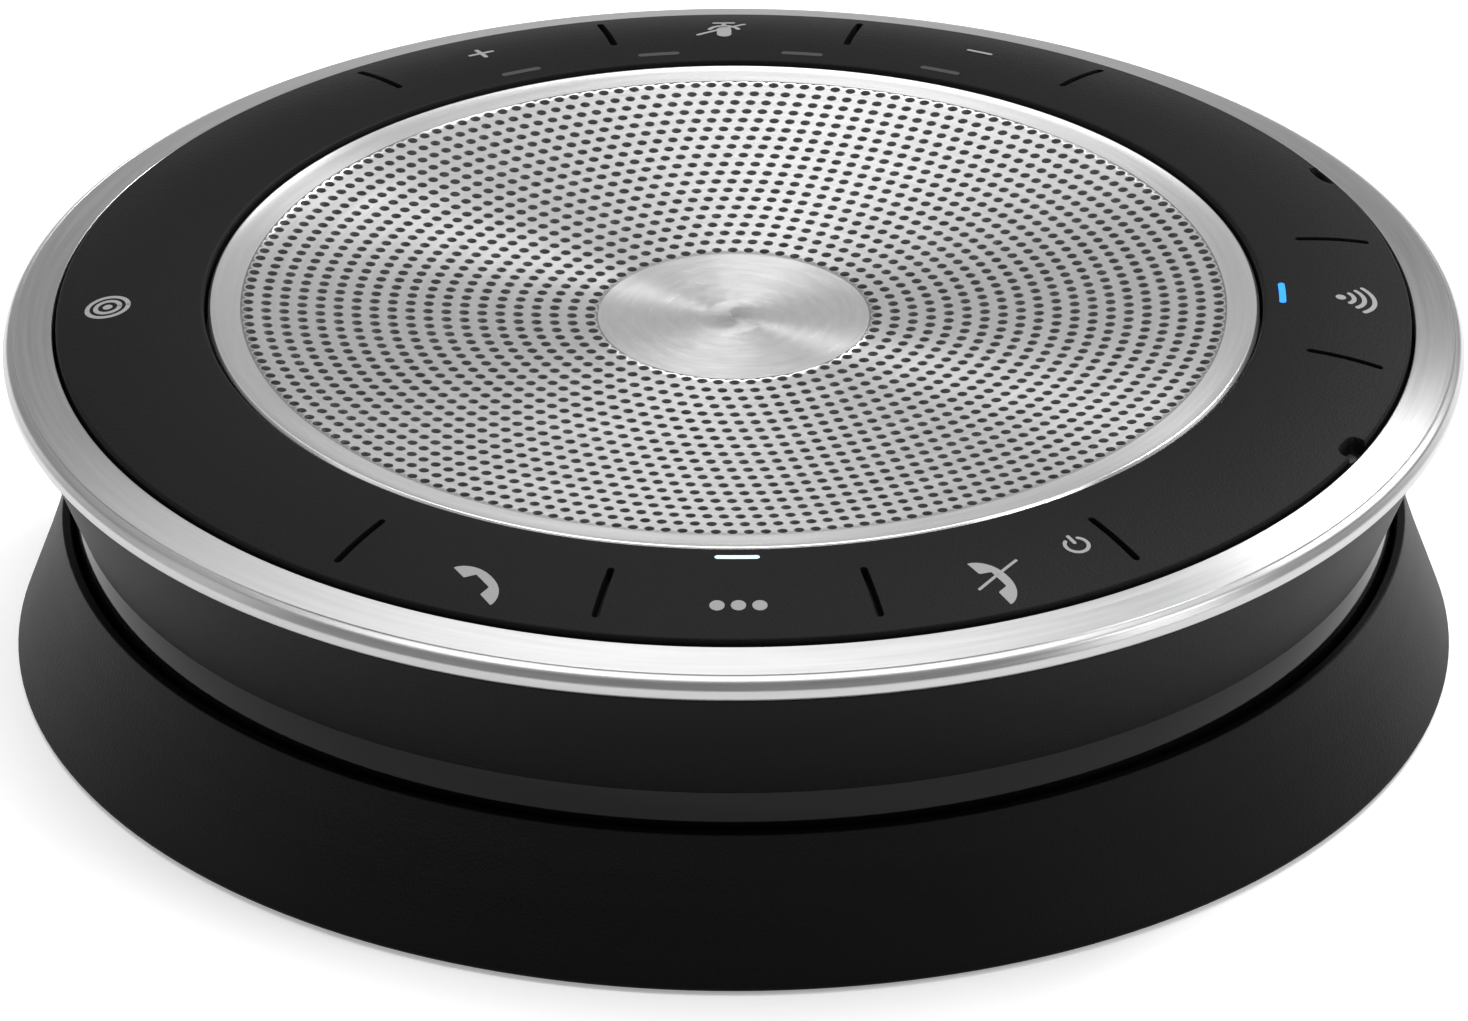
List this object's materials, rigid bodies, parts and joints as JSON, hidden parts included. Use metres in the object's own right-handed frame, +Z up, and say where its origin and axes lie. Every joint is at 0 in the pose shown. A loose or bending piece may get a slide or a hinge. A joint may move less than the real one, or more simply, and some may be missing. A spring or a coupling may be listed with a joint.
{
  "type": "conference speakerphone",
  "caption": "Round desktop conference speakerphone: perforated metal speaker grille, ring of soft push keys with light bars, brushed metal rim, waisted black body on a flared base.",
  "frame": {"origin": "on the puck's axis at the height of the floor, under the foot pad", "axes": "+Z up along the axis; -Y towards the call, menu and end keys; +X towards the wireless key"},
  "size_m": [0.12, 0.12, 0.0316],
  "materials": {
    "soft_black": "soft-touch matte",
    "matte_shell": "fine matte",
    "gloss_band": "high gloss",
    "brushed_rim": "circular brushed",
    "grille_steel": "spun and perforated",
    "foot_rubber": "matte",
    "acoustic_cloth": "woven",
    "inner_plastic": "moulded",
    "circuit_board": "solder mask",
    "bright_metal": "plated",
    "magnet_steel": "zinc plated",
    "copper": "enamelled winding",
    "cone_paper": "pressed pulp",
    "surround_rubber": "matte",
    "spider_cloth": "resin-stiffened cloth",
    "battery_wrap": "shrink film",
    "light_pipe": "frosted"
  },
  "bodies": {
    "housing": {"foot_pad": "foot_rubber", "bottom_cover": "matte_shell", "cover_screw_1": "bright_metal", "cover_screw_2": "bright_metal", "cover_screw_3": "bright_metal", "cover_screw_4": "bright_metal", "base_skirt": "matte_shell", "waist_band": "gloss_band", "body_shell": "matte_shell", "rim_ring": "brushed_rim", "control_bezel": "soft_black", "keypad_board": "circuit_board", "top_chassis": "inner_plastic", "contactless_antenna": "copper", "speaker_grille": "grille_steel", "grille_cloth": "acoustic_cloth", "speaker_baffle": "inner_plastic", "speaker_enclosure": "inner_plastic", "speaker_frame": "magnet_steel", "speaker_magnet": "magnet_steel", "speaker_surround": "surround_rubber", "speaker_spider": "spider_cloth", "main_board": "circuit_board", "battery": "battery_wrap", "radio_shield": "bright_metal", "usb_socket": "bright_metal", "light_front": "light_pipe", "light_right": "light_pipe", "light_back_1": "light_pipe", "light_back_2": "light_pipe", "light_back_3": "light_pipe", "light_back_4": "light_pipe", "microphone_1": "bright_metal", "microphone_2": "bright_metal", "microphone_seal_1": "surround_rubber", "microphone_seal_2": "surround_rubber", "dome_call": "bright_metal", "dome_menu": "bright_metal", "dome_end": "bright_metal", "dome_volume_up": "bright_metal", "dome_mute": "bright_metal", "dome_volume_down": "bright_metal", "dome_wireless": "bright_metal"},
    "driver": {"speaker_cone": "cone_paper", "voice_coil": "copper"},
    "key_call": {"key_call": "soft_black"},
    "key_menu": {"key_menu": "soft_black"},
    "key_end": {"key_end": "soft_black"},
    "key_volume_up": {"key_volume_up": "soft_black"},
    "key_mute": {"key_mute": "soft_black"},
    "key_volume_down": {"key_volume_down": "soft_black"},
    "key_wireless": {"key_wireless": "soft_black"}
  },
  "joints": [
    {"name": "press_call", "type": "slide", "parent": "housing", "child": "key_call", "axis": [0, 0, -1], "range_m": [0, 0.00035], "stiffness_N_per_m": 4000, "deforming": ["dome_call"]},
    {"name": "press_menu", "type": "slide", "parent": "housing", "child": "key_menu", "axis": [0, 0, -1], "range_m": [0, 0.00035], "stiffness_N_per_m": 4000, "deforming": ["dome_menu"]},
    {"name": "press_end", "type": "slide", "parent": "housing", "child": "key_end", "axis": [0, 0, -1], "range_m": [0, 0.00035], "stiffness_N_per_m": 4000, "deforming": ["dome_end"]},
    {"name": "press_volume_up", "type": "slide", "parent": "housing", "child": "key_volume_up", "axis": [0, 0, -1], "range_m": [0, 0.00035], "stiffness_N_per_m": 4000, "deforming": ["dome_volume_up"]},
    {"name": "press_mute", "type": "slide", "parent": "housing", "child": "key_mute", "axis": [0, 0, -1], "range_m": [0, 0.00035], "stiffness_N_per_m": 4000, "deforming": ["dome_mute"]},
    {"name": "press_volume_down", "type": "slide", "parent": "housing", "child": "key_volume_down", "axis": [0, 0, -1], "range_m": [0, 0.00035], "stiffness_N_per_m": 4000, "deforming": ["dome_volume_down"]},
    {"name": "press_wireless", "type": "slide", "parent": "housing", "child": "key_wireless", "axis": [0, 0, -1], "range_m": [0, 0.00035], "stiffness_N_per_m": 4000, "deforming": ["dome_wireless"]},
    {"name": "driver_travel", "type": "slide", "parent": "housing", "child": "driver", "axis": [0, 0, 1], "range_m": [-0.0005, 0.0005], "stiffness_N_per_m": 2400, "deforming": ["speaker_surround", "speaker_spider"]}
  ]
}
